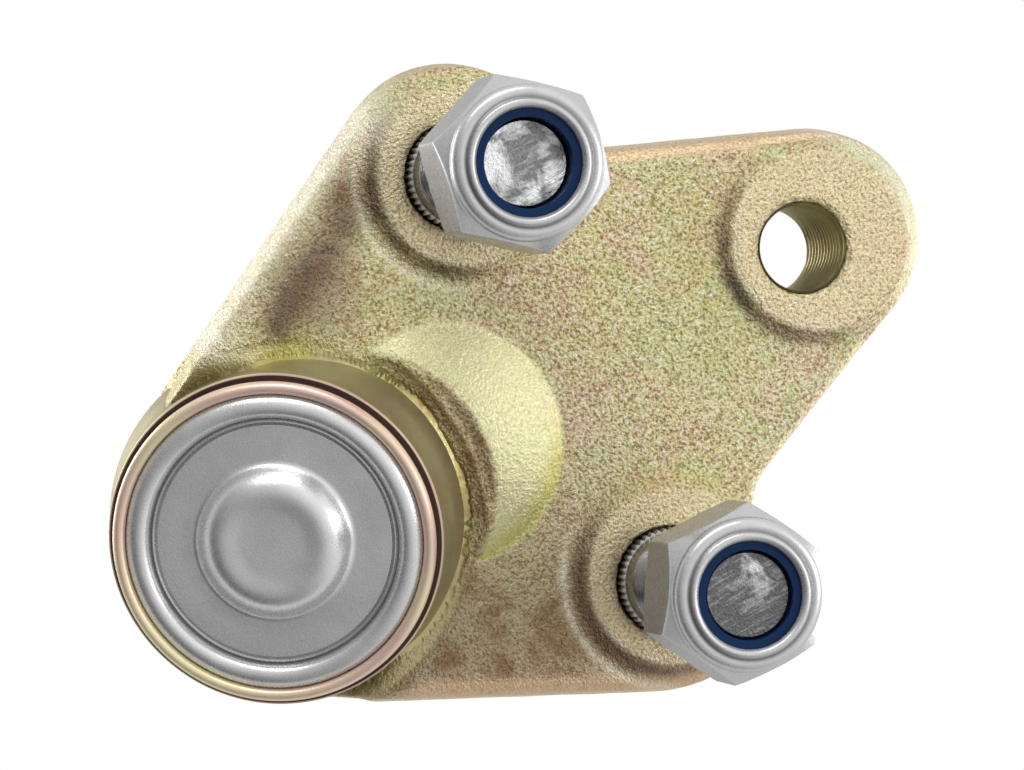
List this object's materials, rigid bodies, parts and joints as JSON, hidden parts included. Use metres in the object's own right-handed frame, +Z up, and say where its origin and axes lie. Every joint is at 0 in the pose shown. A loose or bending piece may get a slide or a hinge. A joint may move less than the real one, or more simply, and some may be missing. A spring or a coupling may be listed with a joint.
{
  "type": "suspension ball joint",
  "caption": "Forged lower ball joint: three-point arm plate with two hanging studs, a threaded hole and a tilted ball stud under a rubber boot.",
  "frame": {"origin": "centre of the threaded bolt hole, in the plane where the three bosses meet the control arm", "axes": "+Z up, the way the ball stud leaves; +X from the bolt hole towards the ball; +Y across the two arm studs"},
  "size_m": [0.1132, 0.086, 0.1197],
  "materials": {
    "forging": "yellow iridescent zinc on a rough forging",
    "cap_steel": "plain pressed steel, satin",
    "spring_steel": "blued spring steel",
    "bearing_plastic": "natural acetal",
    "stud_zinc": "zinc plated steel",
    "nut_zinc": "bright zinc",
    "nylon": "blue nylon",
    "ring_steel": "zinc plated steel",
    "sleeve_plastic": "black acetal",
    "boot_rubber": "black rubber, matte",
    "ball_stud_steel": "ground and phosphated steel",
    "castle_zinc": "yellow zinc",
    "pin_steel": "zinc plated wire"
  },
  "bodies": {
    "housing": {"housing": "forging", "cover_plate": "cap_steel", "disc_spring": "spring_steel", "pressure_plate": "spring_steel", "lower_bearing": "bearing_plastic", "upper_bearing": "bearing_plastic", "arm_stud_left": "stud_zinc", "arm_stud_right": "stud_zinc", "lock_nut_left": "nut_zinc", "lock_nut_right": "nut_zinc", "nylon_insert_left": "nylon", "nylon_insert_right": "nylon", "boot_base_ring": "ring_steel", "boot_clamp_ring": "ring_steel"},
    "boot": {"dust_boot": "boot_rubber"},
    "boot_neck": {"boot_neck_ring": "ring_steel", "boot_neck_sleeve": "sleeve_plastic"},
    "ball_stud": {"ball_stud": "ball_stud_steel", "castle_nut": "castle_zinc", "split_pin": "pin_steel"}
  },
  "joints": [
    {"name": "stud_swing_y", "type": "hinge", "parent": "housing", "child": "boot", "pos_m": [0.06956, 0, 0.01862], "axis": [0, 1, 0], "range_deg": [-20, 20], "deforming": ["dust_boot"]},
    {"name": "stud_swing_x", "type": "hinge", "parent": "boot", "child": "boot_neck", "pos_m": [0.06956, 0, 0.01862], "axis": [0.9311, 0, 0.3649], "range_deg": [-20, 20]},
    {"name": "stud_spin", "type": "hinge", "parent": "boot_neck", "child": "ball_stud", "pos_m": [0.06956, 0, 0.01862], "axis": [-0.3649, 0, 0.9311], "continuous": true}
  ]
}
